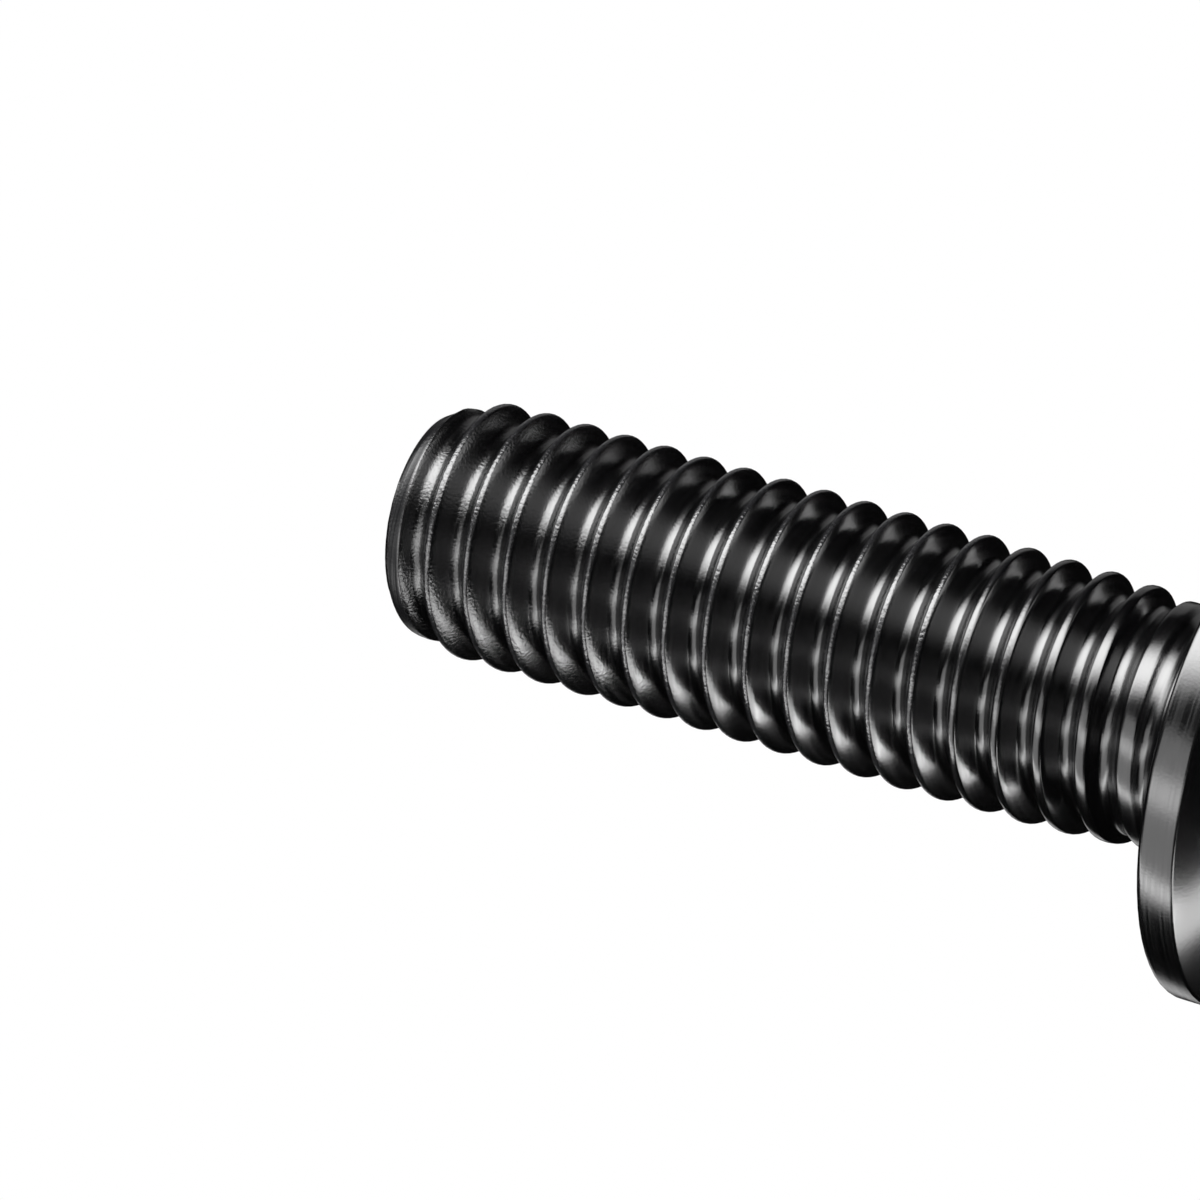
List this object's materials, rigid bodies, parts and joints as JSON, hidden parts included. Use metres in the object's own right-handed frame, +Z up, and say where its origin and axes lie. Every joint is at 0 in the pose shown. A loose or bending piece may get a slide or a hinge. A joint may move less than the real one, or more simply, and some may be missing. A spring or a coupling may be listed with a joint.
{
  "type": "flange bolt",
  "caption": "Threaded flange bolt with a thin round rim under a hexagon head, a short plain neck and a chamfered flat end, in glossy black steel.",
  "frame": {"origin": "centre of the head's flat crown, on the surface the bolt stands on", "axes": "+Z up along the bolt's axis, from the head's crown to the threaded end, +X through a corner of the hexagon"},
  "size_m": [0.011, 0.011, 0.0262],
  "materials": {
    "black_steel": "glossy black coating on cold-formed steel with a rolled thread"
  },
  "bodies": {
    "root": {"bolt": "black_steel"}
  },
  "joints": []
}
